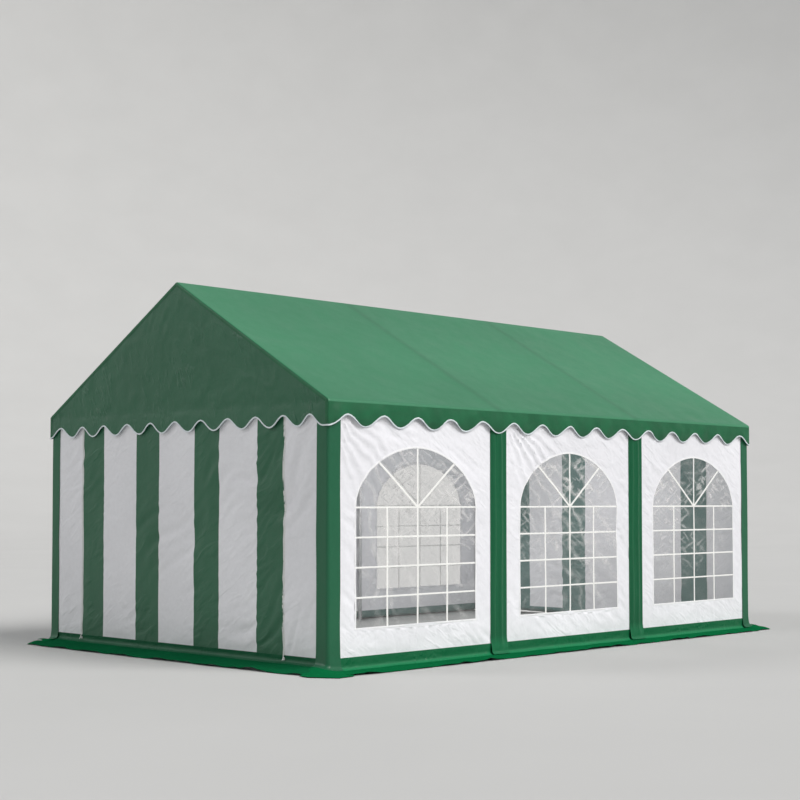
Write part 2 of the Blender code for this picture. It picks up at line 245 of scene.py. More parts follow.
def net_mesh(rows, flip=False, tone=None):
    """Quads through rows of points. tone gives the number of the finish for a row and a column."""
    wide = len(rows[0])
    quads = [(a, a + 1, a + wide + 1, a + wide)
             for first in range(0, wide * (len(rows) - 1), wide) for a in range(first, first + wide - 1)]
    mesh = new_mesh([point for row in rows for point in row], [], [q[::-1] for q in quads] if flip else quads)
    across, down = run_along(rows[len(rows) // 2]), run_along([row[wide // 2] for row in rows])
    lay_flat(mesh, [(a, b) for b in down for a in across])
    if tone:
        for polygon in mesh.polygons:
            polygon.material_index = tone(*divmod(polygon.index, wide - 1))
    return mesh


def crossings(border, b):
    """Where the outline and the holes of a flat cut cross a level line."""
    return sorted(start.x + (b - start.y) * (end.x - start.x) / (end.y - start.y)
                  for start, end in border if (start.y > b) != (end.y > b))


def cut_mesh(outline, holes, pitch, place):
    """A sheet cut to a flat outline with holes, in a net of points this far apart."""
    corners, edges = [], []
    for loop in [outline, *holes]:
        first = len(corners)
        corners += [Vector(point) for point in loop]
        edges += [(first + i, first + (i + 1) % len(loop)) for i in range(len(loop))]
    border = [(corners[i], corners[j]) for i, j in edges]
    level = [pair for pair in border if abs(pair[0].y - pair[1].y) < 1e-6]
    (low_a, high_a), (low_b, high_b) = ((min(line), max(line)) for line in zip(*outline))
    columns, rows = (max(2, round(size / pitch)) for size in (high_a - low_a, high_b - low_b))
    for j in range(1, rows):
        b = blend(low_b, high_b, j / rows)
        ends = crossings(border, b)
        for i in range(columns):
            a = blend(low_a, high_a, (i + (0.5 if j % 2 else 0.0)) / columns)
            inside = any(low + 0.45 * pitch < a < high - 0.45 * pitch for low, high in zip(ends[::2], ends[1::2]))
            if inside and all(abs(b - start.y) > 0.3 * pitch and abs(b - end.y) > 0.3 * pitch for start, end in level
                              if min(start.x, end.x) - pitch < a < max(start.x, end.x) + pitch):
                corners.append(Vector((a, b)))
    flat, _, faces = delaunay_2d_cdt(corners, edges, [], 1, 1e-6)[:3]

    def is_cloth(face):
        middle = sum((flat[i] for i in face), Vector((0.0, 0.0))) / 3
        return sum(a > middle.x for a in crossings(border, middle.y)) % 2 == 1

    return lay_flat(new_mesh([place(p.x, p.y) for p in flat], [], [face for face in faces if is_cloth(face)]), flat)


def add_object(name, data):
    made = bpy.data.objects.new(name, data)
    bpy.context.scene.collection.objects.link(made)
    return made


def add_piece(name, mesh, finishes=(), turn=STRAIGHT):
    mesh.transform(turn)
    for finish in finishes:
        mesh.materials.append(finish)
    return add_object(name, mesh)


def settle(piece, nodes=(), smooth_below=50.0):
    """Makes what the modifiers show the piece's own mesh, attaches the piece to its body and hides the nodes it stands
    in for.
    """
    bpy.context.view_layer.update()
    mesh = bpy.data.meshes.new_from_object(piece.evaluated_get(bpy.context.evaluated_depsgraph_get()))
    piece.modifiers.clear()
    old = piece.data
    piece.data = mesh
    bpy.data.meshes.remove(old)
    mesh.name = piece.name
    mesh.shade_smooth()
    mesh.set_sharp_from_angle(angle=math.radians(smooth_below))
    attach(piece, "root")
    if nodes:
        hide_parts(*nodes)
    return piece


def make_sheet(name, mesh, finishes, nodes=(), turn=STRAIGHT, thickness=CLOTH):
    """A sheet with its thickness. Of two or more finishes, the last half are those of its inner face."""
    piece = add_piece(name, mesh, finishes, turn)
    step = piece.modifiers.new("cloth", "SOLIDIFY")
    step.material_offset = len(finishes) // 2
    step.thickness = thickness
    step.offset = -1.0
    step.use_even_offset = False
    step.use_quality_normals = True
    return settle(piece, nodes)


# Node trees

class Nodes:
    """A node tree, with short ways to add to it."""

    def fill(self, node, inputs):
        """Sets a node's inputs, or links them to what other nodes give."""
        for name, value in inputs.items():
            if isinstance(value, bpy.types.NodeSocket):
                self.tree.links.new(value, node.inputs[name])
            else:
                node.inputs[name].default_value = value

    def add(self, kind, inputs=None, **settings):
        node = self.tree.nodes.new(kind if "Node" in kind else self.family + kind)
        for name, value in settings.items():
            setattr(node, name, value)
        self.fill(node, inputs or {})
        return node.outputs

    def get(self, kind, inputs=None, **settings):
        return self.add(kind, inputs, **settings)[0]

    def calc(self, operation, *values):
        return self.get("ShaderNodeMath", dict(enumerate(values)), operation=operation)


class Trim(Nodes):
    """A tree that makes a trim along lines. Its inputs are the lines, its sizes and its finish."""
    family = "GeometryNode"

    def __init__(self, name, **sizes):
        self.tree = bpy.data.node_groups.new(name, "GeometryNodeTree")
        socket = self.tree.interface.new_socket
        socket("Line", in_out="INPUT", socket_type="NodeSocketGeometry")
        for size, value in sizes.items():
            socket(size, in_out="INPUT", socket_type="NodeSocketFloat").default_value = value
        socket("Finish", in_out="INPUT", socket_type="NodeSocketMaterial")
        socket("Piece", in_out="OUTPUT", socket_type="NodeSocketGeometry")
        self.given = self.add("NodeGroupInput")
        self.line = self.get("MeshToCurve", {"Mesh": self.given["Line"]})

    def spots(self):
        """Places along the line, a pitch apart."""
        return self.add("CurveToPoints", {"Curve": self.line, "Length": self.given["Pitch"]}, mode="LENGTH")

    def close(self, kind, inputs):
        """Adds the last step, and gives the finished tree."""
        real = self.get("RealizeInstances", {"Geometry": self.get(kind, inputs)})
        dressed = self.get("SetMaterial", {"Geometry": real, "Material": self.given["Finish"]})
        self.fill(self.tree.nodes.new("NodeGroupOutput"), {0: dressed})
        return self.tree


def tape_tree(name, on_wall):
    """A flat tape along each line: on edge round the tent, or lying flat on a wall that faces along X."""
    tape = Trim(name, Width=0.02, Thickness=0.001, Step=0.02, Round=0.0003)
    even = tape.get("ResampleCurve", {"Curve": tape.line, "Length": tape.given["Step"]}, mode="LENGTH")
    facing = {"Normal": (1.0, 0.0, 0.0)} if on_wall else {}
    level = tape.get("SetCurveNormal", {"Curve": even, **facing}, mode="FREE" if on_wall else "Z_UP")
    section = tape.get("CurvePrimitiveQuadrilateral",
                       {"Width": tape.given["Thickness"], "Height": tape.given["Width"]})
    rounded = tape.get("FilletCurve", {"Curve": section, "Radius": tape.given["Round"], "Count": 2}, mode="POLY")
    return tape.close("CurveToMesh", {"Curve": level, "Profile Curve": rounded, "Fill Caps": True})


def stitch_tree():
    """A running seam: short threads laid along each line."""
    seam = Trim("stitches_along_line", Pitch=0.008, Length=0.0055, Thread=0.0011)
    spots = seam.spots()
    thread = seam.get("MeshCylinder", {"Vertices": 5, "Radius": seam.calc("MULTIPLY", seam.given["Thread"], 0.5),
                                       "Depth": seam.given["Length"]})
    return seam.close("InstanceOnPoints", {"Points": spots["Points"], "Instance": thread,
                                           "Rotation": spots["Rotation"]})


def teeth_tree():
    """Zip teeth along each line, every second one set to the other side."""
    teeth = Trim("teeth_along_line", Pitch=0.005, Reach=0.0036, Tooth=0.0026, Offset=0.0013)
    odd = teeth.calc("MODULO", teeth.get("InputIndex"), 2.0)
    aside = teeth.calc("MULTIPLY", teeth.calc("MULTIPLY_ADD", odd, 2.0, -1.0), teeth.given["Offset"])
    moved = teeth.get("SetPosition", {"Geometry": teeth.spots()["Points"],
                                      "Offset": teeth.get("ShaderNodeCombineXYZ", {"X": aside})})
    size = teeth.get("ShaderNodeCombineXYZ",
                     {"X": teeth.given["Reach"], "Y": teeth.given["Tooth"], "Z": teeth.given["Tooth"]})
    return teeth.close("InstanceOnPoints", {"Points": moved, "Instance": teeth.get("MeshCube", {"Size": size})})


def follow(name, tree, lines, finish, closed=False, turn=STRAIGHT, **sizes):
    """A trim that a tree makes along lines, as a plain mesh."""
    points, edges = [], []
    for line in lines:
        first = len(points)
        points += line
        edges += [(i, i + 1) for i in range(first, len(points) - 1)]
        if closed:
            edges.append((len(points) - 1, first))
    piece = add_piece(name, new_mesh(points, edges, []), turn=turn)
    step = piece.modifiers.new("nodes", "NODES")
    step.node_group = tree
    given = {"Finish": finish, **sizes}
    for item in tree.interface.items_tree:
        if item.item_type == "SOCKET" and item.in_out == "INPUT" and item.name in given:
            step[item.identifier] = given[item.name]
    return settle(piece, smooth_below=40.0)


HEM_TAPE = tape_tree("hem_tape", False)
WINDOW_TAPE = tape_tree("window_tape", True)
STITCHES = stitch_tree()
TEETH = teeth_tree()


# Finishes

class Finish(Nodes):
    """A material in the making."""
    family = "ShaderNode"

    def __init__(self, name):
        self.made = bpy.data.materials.new(name)
        self.made.use_nodes = True
        self.tree = self.made.node_tree
        self.place = self.add("TexCoord")["Object"]

    def spread(self, value, low, high, to_low, to_high):
        """Stretches the values between low and high to another range."""
        return self.get("MapRange", {"Value": value, "From Min": low, "From Max": high,
                                     "To Min": to_low, "To Max": to_high})

    def noise(self, scale, detail=3.0, distortion=0.0, place=None):
        """Smooth noise, from 0 to 1, with about this many lumps to a metre."""
        return self.get("TexNoise", {"Vector": place or self.place, "Scale": scale, "Detail": detail,
                                     "Roughness": 0.55, "Distortion": distortion})

    def cloud(self, scale, detail, low, high):
        """Noise that runs from low to high."""
        return self.spread(self.noise(scale, detail), 0.3, 0.7, low, high)

    def ridges(self, scale, detail, distortion):
        """Noise turned into creases: 0 on a crease, rising on both sides."""
        return self.calc("ABSOLUTE", self.calc("SUBTRACT", self.noise(scale, detail, distortion), 0.5))

    def tucks(self, turn, across, along, least=0.50, waver=0.3):
        """Short folds that all run one way, flat cloth between them: from 0 to 1."""
        turned = self.get("Mapping", {"Vector": self.place, "Rotation": [math.radians(t) for t in turn]})
        drawn = self.get("Mapping", {"Vector": turned, "Scale": (1 / across, 1 / across, 1 / along)})
        fold = self.spread(self.noise(1.0, 5 * waver, waver, drawn), least, least + 0.16, 0.0, 1.0)
        return self.calc("MULTIPLY", fold, self.spread(self.noise(1.9, 1.0), 0.40, 0.62, 0.15, 1.0))

    def bump(self, height, strength, distance, over=None):
        under = {"Normal": over} if over else {}
        return self.get("Bump", {"Height": height, "Strength": strength, "Distance": distance, **under})

    def tinted(self, colour, tone):
        """The colour, made lighter or darker by the tone."""
        return self.get("VectorMath", {0: colour, "Scale": tone}, operation="SCALE")

    def close(self, inputs):
        """Gives the shader what the nodes made, and the finished material."""
        self.fill(self.tree.nodes["Principled BSDF"], inputs)
        return self.made


def coated_cloth(name, colour, roughness=0.42, crumple=0.5, shine=0.5, dust=0.006, rafter_shade=0.0, folds=None,
                 clouds=(0.9, 0.05), painted_light_ramps=()):
    """Coated woven fabric: uneven tone, small creases, a fine weave under the coating, dust low down.

    rafter_shade is how much darker the cloth is painted where it lies on the two middle frames, a painted
    shade of the rafters. folds gives the turn of its short folds, their width, length and height, and clouds
    how many of its lighter and darker patches there are to a metre, and how strong they are. painted_light_ramps
    makes it lighter or darker from one place to another, as painted light and shade: each gives the axis,
    the two places and the two tones.
    """
    cloth = Finish(name)
    spot = dict(zip("XYZ", cloth.add("SeparateXYZ", {0: cloth.place})))
    patches, strength = clouds
    tones = [cloth.cloud(26.0, 5.0, 0.975, 1.025)]
    # painted shade of the rafters: the cloth is made darker where it lies on the two middle frames
    if rafter_shade:
        beside = cloth.calc("ABSOLUTE", cloth.calc("SUBTRACT", cloth.calc("ABSOLUTE", spot["Y"]), POST_Y))
        tones.append(cloth.spread(beside, 0.006, 0.075, 1.0 - rafter_shade, 1.0))
    # painted light and shade: tone ramps along one axis
    tones += [cloth.spread(spot[axis], *ends) for axis, *ends in painted_light_ramps]
    tone = cloth.cloud(patches, 3.0, 1.0 - strength, 1.0 + strength)
    for more in tones:
        tone = cloth.calc("MULTIPLY", tone, more)
    specks = cloth.spread(cloth.noise(11.0, 6.0), 0.42, 0.72, 0.0, dust * 3.0)
    share = cloth.calc("MULTIPLY", cloth.spread(spot["Z"], 0.0, 0.45, 1.0, 0.0), specks)
    dusty = cloth.add("Mix", {0: share, 6: cloth.tinted(colour, tone), 7: (0.24, 0.24, 0.21, 1.0)}, data_type="RGBA")
    wrinkles = cloth.calc("MULTIPLY_ADD", cloth.ridges(8.0, 1.5, 0.8), 0.30, cloth.ridges(2.6, 2.0, 0.5))
    relief = cloth.bump(wrinkles, crumple, 0.035)
    if folds:
        relief = cloth.bump(cloth.tucks(*folds[:3]), 1.0, folds[3], relief)
    cut = cloth.get("UVMap", uv_map="cut")
    threads = [cloth.add("TexWave", {"Vector": cut, "Scale": 125.0}, wave_type="BANDS", bands_direction=way)[1]
               for way in ("X", "Y")]
    return cloth.close({"Base Color": dusty[2], "Specular IOR Level": shine,
                        "Roughness": cloth.cloud(5.0, 4.0, roughness - 0.06, roughness + 0.06),
                        "Normal": cloth.bump(cloth.calc("MULTIPLY", *threads), 0.12, 0.0004, relief)})


def clear_film():
    """Flexible clear sheet: a light haze, painted glare where the wall's folds run over it, and painted glints: patches
    of whiter, less clear, slanted streaks along its creases, most near the arch.
    """
    film = Finish("clear_film")
    # Painted highlight: the glints are whiter, less clear streaks in the alpha, stronger higher up
    painted_glint = film.calc("MULTIPLY", film.spread(film.add("SeparateXYZ", {0: film.place})[2], 0.55, 1.45, 0.03, 0.33),
                      film.spread(film.noise(1.9, 1.0), 0.42, 0.60, 0.15, 1.0))
    streaks = film.calc("MAXIMUM", film.tucks((60, 0.0, 0.0), 0.034, 0.13, 0.57, 0.08),
                        film.tucks((-58, 0.0, 0.0), 0.036, 0.13, 0.57, 0.08))
    # the pull attribute is painted glare, added to the film's own haze
    haze_and_painted_glare = film.calc("ADD", film.add("Attribute", attribute_name="pull")["Fac"], film.cloud(2.3, 2.0, 0.03, 0.06))
    return film.close({"Base Color": (0.82, 0.81, 0.80, 1.0), "Roughness": 0.16, "IOR": 1.5,
                       "Alpha": film.calc("MULTIPLY_ADD", streaks, painted_glint, haze_and_painted_glare),
                       "Normal": film.bump(streaks, 0.25, 0.01)})


def woven_tape(name, colour, roughness=0.6):
    """Tape with a fine grain over it."""
    tape = Finish(name)
    return tape.close({"Base Color": tape.tinted(colour, tape.cloud(40.0, 4.0, 0.95, 1.04)), "Roughness": roughness,
                       "Normal": tape.bump(tape.noise(420.0, 2.0), 0.25, 0.0006)})


def galvanised_steel():
    """Zinc coating: dull metal with a faint spangle and an uneven tone."""
    steel = Finish("galvanised_steel")
    grey = steel.get("RGBToBW", {0: steel.add("TexVoronoi", {"Vector": steel.place, "Scale": 90.0})["Color"]})
    tone = steel.calc("MULTIPLY", steel.spread(grey, 0.0, 1.0, 0.86, 1.06), steel.cloud(7.0, 5.0, 0.9, 1.06))
    return steel.close({"Base Color": steel.tinted((0.56, 0.57, 0.58), tone), "Metallic": 0.85,
                        "Roughness": steel.spread(grey, 0.0, 1.0, 0.34, 0.5),
                        "Normal": steel.bump(steel.noise(160.0, 4.0), 0.1, 0.0008)})


def matt_floor():
    floor = Finish("floor_matt")
    tone = floor.cloud(0.35, 3.0, 0.985, 1.015)
    return floor.close({"Base Color": floor.tinted((0.58, 0.58, 0.57), tone), "Roughness": 0.9,
                        "Specular IOR Level": 0.1})


GREEN = (0.022, 0.118, 0.060)
# Short folds: the turn of the cloth that lies along them, then their width, length and height
GABLE_TUCKS = ((0.0, 30.0, 0.0), 0.050, 0.12, 0.0056)
END_TUCKS = ((0.0, -58.0, 0.0), 0.085, 0.22, 0.0036)
WALL_TUCKS = ((-57.0, 0.0, 0.0), 0.055, 0.17, 0.0026)
BAND_TUCKS = ((52.0, 40.0, 0.0), 0.045, 0.12, 0.0024)
# Painted light and shade as tone ramps (axis, two places, two tones): painted sheen on the roof, painted shade on the
# valance's lobes, painted light at the post covers' feet and low on the long walls, a painted highlight along the
# skirt's crease
ROOF_PAINTED_SHEEN = (("Z", 2.15, 2.55, 0.97, 1.06), ("Z", 2.62, 3.05, 1.0, 0.93), ("Y", -1.0, 3.0, 1.0, 1.09))
VALANCE_PAINTED_SHADE = (("Z", 1.905, 1.975, 0.78, 1.0),)
POST_FOOT_PAINTED_LIGHT = (("Z", 0.10, 0.18, 1.4, 1.0),)
CREASE_PAINTED_HIGHLIGHT = (("Z", 0.024, 0.044, 1.5, 1.0),)
WALL_FOOT_PAINTED_LIGHT = (("Z", 0.10, 0.60, 1.05, 1.0),)
# Each cloth: name, colour, roughness, how crumpled, shine, dust
# Painted reflection: the roof cloth is a lighter, greyer green than the valance cloth of the same fabric, standing in
# for the sky's sheen, with a painted sheen band at mid-slope, more painted sheen towards the far end, and painted
# rafter shade
ROOF_GREEN_PAINTED_SHEEN = coated_cloth("green_roof_cloth_painted_sheen", (0.040, 0.215, 0.105), 0.40, 0.07, 0.5, rafter_shade=0.16,
                          painted_light_ramps=ROOF_PAINTED_SHEEN)
# Painted shade: the valance's lobes are made darker towards their lower edge
VALANCE_GREEN_PAINTED_SHADE = coated_cloth("green_valance_cloth_painted_shade", (0.009, 0.118, 0.046), 0.44, 0.20, 0.35, clouds=(4.5, 0.16),
                             painted_light_ramps=VALANCE_PAINTED_SHADE)
GABLE_GREEN = coated_cloth("green_gable_cloth", GREEN, 0.46, 0.30, 0.4, folds=GABLE_TUCKS)
COVER_GREEN = coated_cloth("green_cover_cloth", (0.012, 0.118, 0.054), 0.40, 0.15, 0.36, 0.0)
# Painted light: the post covers are made lighter at the foot, where they turn out over the crease
POST_GREEN_PAINTED_LIGHT = coated_cloth("green_post_cover_cloth_painted_light", (0.004, 0.110, 0.042), 0.38, 0.15, 0.30, 0.0,
                          painted_light_ramps=POST_FOOT_PAINTED_LIGHT)
# Painted highlight: the skirt cloth is made lighter along the crease between band and flap
SKIRT_GREEN_PAINTED_HIGHLIGHT = coated_cloth("green_skirt_cloth_painted_highlight", (0.006, 0.142, 0.054), 0.44, 0.14, 0.30, 0.0, folds=BAND_TUCKS,
                           painted_light_ramps=CREASE_PAINTED_HIGHLIGHT)
FLAP_GREEN = coated_cloth("green_flap_cloth", (0.004, 0.140, 0.046), 0.60, 0.35, 0.0, 0.002)
# Painted shade: darker copies of the skirt and flap cloth, for the ends of the tent
SKIRT_GREEN_PAINTED_SHADE = coated_cloth("green_end_skirt_cloth_painted_shade", (0.005, 0.100, 0.042), 0.48, 0.14, 0.25, 0.0,
                                 folds=BAND_TUCKS)
FLAP_GREEN_PAINTED_SHADE = coated_cloth("green_end_flap_cloth_painted_shade", (0.005, 0.108, 0.040), 0.60, 0.35, 0.0, 0.002)
STRIPE_GREEN = coated_cloth("green_stripe_cloth", GREEN, 0.45, 0.25, 0.4, folds=END_TUCKS)
INNER_GREEN = coated_cloth("green_inner_face", (0.090, 0.185, 0.170), 0.60, 0.20, 0.2)
WHITE = coated_cloth("white_cloth", (0.785, 0.79, 0.82), 0.44, 0.25, 0.4, folds=END_TUCKS)
# Painted light: the long walls get a lighter white than the end walls' cloth of the same fabric, and are made lighter
# still low down
WALL_WHITE_PAINTED_LIGHT = coated_cloth("white_wall_cloth_painted_light", (0.845, 0.845, 0.88), 0.44, 0.40, 0.4, 0.002, folds=WALL_TUCKS,
                          painted_light_ramps=WALL_FOOT_PAINTED_LIGHT)
CLEAR = clear_film()
BINDING = woven_tape("pale_binding", (0.70, 0.77, 0.80))
BORDER_WHITE = woven_tape("white_border_tape", (0.93, 0.93, 0.94), 0.5)
BAR_WHITE = woven_tape("white_bar_tape", (0.93, 0.93, 0.90), 0.5)
THREAD_WHITE = woven_tape("white_thread", (0.70, 0.72, 0.70), 0.7)
ZIP_WHITE = woven_tape("zip_tape", (0.74, 0.75, 0.74), 0.6)
ZIP_TEETH = woven_tape("zip_teeth", (0.62, 0.64, 0.63), 0.35)
STEEL = galvanised_steel()


# Roof

def side_valance(y, z, seed):
    """Outer face of the long valance, from the middle plane. It leans in between the post covers."""
    hang = soft((VALANCE_TOP - z) / (VALANCE_TOP - SCALLOP_LOW))
    beside = min(abs(abs(y) - POST_Y), GABLE_Y - abs(y))
    return EAVE_X + valance_swell(y, z, SIDE_LOWS, seed) - VALANCE_LEAN * hang * soft(beside / 0.12 - 1.0)


def roof_dip(q, y, seed):
    """How far the slope lies under a flat one. q runs from 0 at the ridge to 1 at the eave."""
    stations = (-HALF_LENGTH, -POST_Y, POST_Y, HALF_LENGTH)
    y = min(max(y, -HALF_LENGTH + 0.001), HALF_LENGTH - 0.001)
    bay = next(math.sin(math.pi * (y - start) / (end - start))
               for start, end in zip(stations, stations[1:]) if y <= end)
    sag = 0.018 * bay ** 0.7 * math.sin(math.pi * min(1.0, q * 0.9 + 0.06)) ** 0.8
    ripples = 0.0040 * grain(q * 2.2, y, 0.75, seed) * bay
    painted_glare_values = 0.0034 * packing_creases(q * 2.2 + y * 0.7, y * 0.7 - q, 0.6, seed + 2) * bay
    folds = (0.0026 * hump(q, 0.47, 0.014) + 0.0018 * hump(q, 0.76, 0.014)) * soft(bay * 3)
    return sag + ripples + painted_glare_values + folds


def rake_columns():
    """Places along the ridge with the drop of the sheet round the rake: (y, drop) pairs."""
    end = [(-GABLE_Y, BEND + LAP), (-GABLE_Y, BEND + LAP / 2)]
    end += [(-GABLE_Y + BEND * (1 - math.cos(a)), BEND * (1 - math.sin(a))) for a in spaced(0.0, math.pi / 2, 5)]
    inner = [(y, 0.0) for y in scallop_places(SIDE_LOWS) if abs(y) < GABLE_Y - BEND - 0.004]
    return [*end, *inner, *[(-y, drop) for y, drop in reversed(end)]]


def roof_bend(x, z, start, end, steps):
    """Points on a bend of the roof, with the way its outer face looks."""
    return [(x + ROOF_BEND * math.cos(a), z + ROOF_BEND * math.sin(a), a) for a in spaced(start, end, steps)]


def roof_sheet():
    """Both slopes and both long valances in one sheet, bent over the ridge, the eaves and the rakes."""
    level = math.pi / 2
    eave_turn = level - SLOPE
    bend_x = EAVE_X - ROOF_BEND
    eave = roof_bend(bend_x, EAVE_HEIGHT - ROOF_BEND * math.tan(eave_turn / 2), 0.0, eave_turn, 5)
    ridge = roof_bend(0.0, RIDGE_HEIGHT - ROOF_BEND / math.cos(SLOPE), eave_turn, level, 6)
    slope = [tuple(blend(low, high, share) for low, high in zip(eave[-1], ridge[0]))
             for share in spaced(0.0, 1.0, UPPER_ROWS)[1:-1]]
    arc = [*eave, *slope, *ridge]
    rows, columns = [], rake_columns()
    for side, seed in ((1, 11), (-1, 12)):
        half_rows = []
        for k in range(VALANCE_ROWS):
            row = []
            for y, drop in columns:
                z = blend(scallop_edge(y * side, SIDE_LOWS), eave[0][1], k / VALANCE_ROWS)
                row.append((side * (side_valance(y * side, z, seed) - drop), y, z))
            half_rows.append(row)
        for x, z, angle in arc[:-1] if side < 0 else arc:
            row = []
            for y, drop in columns:
                on_slope = angle < level - 1e-6 and x < bend_x
                dip = roof_dip(x / EAVE_X, y * side, seed) * soft(x / EAVE_X * 6.0) if on_slope else 0.0
                push = drop + dip * soft((GABLE_Y - abs(y)) / 0.1)
                row.append((side * (x - push * math.cos(angle)), y, z - push * math.sin(angle)))
            half_rows.append(row)
        rows += half_rows if side > 0 else reversed(half_rows)
    last_row, last_column, rake = len(rows) - 2, len(columns) - 2, 5

    def tone(row, column):
        return int(min(row, last_row - row) < VALANCE_ROWS or min(column, last_column - column) < rake)

    return make_sheet("roof_sheet", net_mesh(rows, tone=tone), [ROOF_GREEN_PAINTED_SHEEN, VALANCE_GREEN_PAINTED_SHADE, INNER_GREEN, INNER_GREEN],
                      ["roof_cover"])


def gable_face(x, z, seed):
    """Outer face of the gable sheet, from the middle plane."""
    inner = soft((roof_height(x) - z) / 0.12) * soft((EAVE_X - abs(x)) / 0.08)
    crumple = 0.0050 * packing_creases(x + z * 0.6, z * 1.1 - x * 0.3, 0.26, seed)
    crumple += 0.0036 * slanted_folds(x, z, 118, 0.085, seed + 5)
    crumple += 0.0040 * grain(x + z * 0.5, z * 0.6, 0.34, seed + 1)
    dimples = 0.5 + 0.5 * math.cos(2 * math.pi * x / 0.345) + 0.8 * grain(x, 0.0, 0.22, seed + 3)
    tuck = 0.005 * hump(z, 2.10, 0.035) * dimples
    swell = valance_swell(x, z, GABLE_LOWS, seed, 0.004, 0.003)
    return GABLE_Y - 0.003 + swell + (crumple * soft((z - 2.05) / 0.12) - tuck) * inner


def gable_sheet(end, turn, seed):
    inset = EAVE_X - 0.006
    columns = [-inset, *[x for x in scallop_places(GABLE_LOWS) if abs(x) < inset], inset]
    rows = []
    for k in range(VALANCE_ROWS + UPPER_ROWS + 1):
        row = []
        for x in columns:
            top = roof_height(x) - 0.010
            knee = min(VALANCE_TOP, top - 0.004)
            if k <= VALANCE_ROWS:
                z = blend(scallop_edge(x, GABLE_LOWS), knee, k / VALANCE_ROWS)
            else:
                z = blend(knee, top, (k - VALANCE_ROWS) / UPPER_ROWS)
            row.append((x, -gable_face(x, z, seed), z))
        rows.append(row)
    return make_sheet(f"{end}_gable_sheet", net_mesh(rows), [GABLE_GREEN, INNER_GREEN],
                      [f"{end}_gable"], turn)


def hem_line(raise_by, out_by):
    """The scalloped edge all round the tent, as points a little above and outside it."""
    line = []
    for turn, side_seed, gable_seed in ((STRAIGHT, 11, 21), (HALF_TURN, 12, 22)):
        gable, corner, side = [], [], []
        for x in scallop_places(GABLE_LOWS):
            if abs(x) < EAVE_X - BEND:
                z = scallop_edge(x, GABLE_LOWS)
                over_lap = 0.003 * soft((abs(x) - EAVE_X + BEND + 2 * LAP) / LAP)
                gable.append((x, -gable_face(x, z, gable_seed) - over_lap - out_by + CLOTH / 2, z))
        reach = BEND + out_by + GAP
        for angle in spaced(-math.pi / 2, 0.0, 6)[1:-1]:
            corner.append((EAVE_X - BEND + reach * math.cos(angle), -GABLE_Y + BEND + reach * math.sin(angle),
                           SCALLOP_LOW))
        for y in scallop_places(SIDE_LOWS):
            if abs(y) < GABLE_Y - BEND:
                z = scallop_edge(y, SIDE_LOWS)
                side.append((side_valance(y, z, side_seed) + out_by - CLOTH / 2, y, z))
        far_corner = [(x, -y, z) for x, y, z in reversed(corner)]
        line += [turn @ Vector((x, y, z + raise_by)) for x, y, z in [*gable, *corner, *side, *far_corner]]
    return line


# Long walls and windows

# Each fan: place (along the bay from its middle, height), aim and spread in degrees, folds, reach, depth
WALL_FANS = {
    "right_1": [(-1.06, 2.22, -50, 36, 5, 1.05, 0.0110), (0.95, 2.05, 240, 26, 3, 0.50, 0.004),
                (0.95, 0.45, 160, 32, 4, 0.42, 0.005), (-0.98, 0.05, 40, 38, 5, 0.45, 0.006)],
    "right_2": [(-1.02, 2.20, -43, 30, 4, 1.15, 0.0170), (1.02, 1.02, 182, 30, 5, 0.48, 0.0110),
                (-0.98, 0.02, 40, 34, 3, 0.34, 0.005)],
    "right_3": [(-1.04, 1.36, 8, 30, 5, 0.50, 0.0100), (-0.98, 2.20, -52, 28, 3, 0.45, 0.005),
                (-0.92, 0.04, 42, 36, 4, 0.38, 0.006)],
    "left_1": [(-1.02, 2.20, -52, 32, 4, 0.90, 0.0080), (1.00, 1.20, 178, 28, 4, 0.42, 0.006),
               (-0.95, 0.04, 42, 36, 4, 0.36, 0.005)],
    "left_2": [(1.02, 2.20, 231, 32, 5, 1.00, 0.0090), (-1.00, 0.80, 4, 30, 4, 0.44, 0.007),
               (0.95, 0.04, 138, 36, 4, 0.34, 0.005)],
    "left_3": [(1.02, 2.20, 232, 34, 5, 0.95, 0.0085), (-1.02, 1.42, -6, 28, 4, 0.46, 0.007),
               (-0.92, 0.04, 46, 36, 4, 0.34, 0.005)],
}
# The angle at which the small folds of each panel run, and their depth
WALL_SLANTS = {
    "right_1": (-37, 0.0066), "right_2": (-34, 0.0046), "right_3": (-28, 0.0046),
    "left_1": (-37, 0.0060), "left_2": (33, 0.0050), "left_3": (36, 0.0060),
}


def under_covers(relief, past, z):
    """Holds a wall sheet down at its hems and where it runs on under a cover, past the cover's edge."""
    relief *= soft((z - BAND_TOP) / 0.06) * soft((WALL_TOP + 0.05 - z) / 0.1)
    relief = min(relief, 0.005 + 0.03 * soft((SCALLOP_LOW - z) / 0.05))
    return relief * soft(((-0.012 if relief > 0.0 else 0.08) - past) / 0.06)


def in_pane(along, z):
    """1 on the window's clear sheet, 0 on the cloth round it."""
    up = max(0.0, z - WINDOW_SPRING) / WINDOW_RISE
    inside = 1.0 - (abs(along) / WINDOW_HALF) ** ARCH_POWER - up ** ARCH_POWER
    return soft(0.5 + min(inside * 2.5, (z - WINDOW_SILL) * 12.0))


def bay_seed(bay):
    return sum(map(ord, bay)) % 97


def wall_relief(bay, along, z):
    """How far the wall sheet, its window and its tapes stand out. along starts at the bay's middle."""
    seed = bay_seed(bay)
    slant, depth = WALL_SLANTS[bay]
    small = depth * slanted_folds(along, z, slant, 0.085, seed)
    small += 0.0028 * packing_creases(along + z * 0.3, z - along * 0.2, 0.17, seed + 2)
    stiff = in_pane(along, z)
    relief = fan_folds(along, z, WALL_FANS[bay], seed) * (1.0 - 0.45 * stiff) + small * (1.0 - 0.75 * stiff)
    relief += 0.0040 * grain(along, z, 0.55, seed + 7)
    return under_covers(relief, abs(along) - POST_Y + COVER_HALF, z)


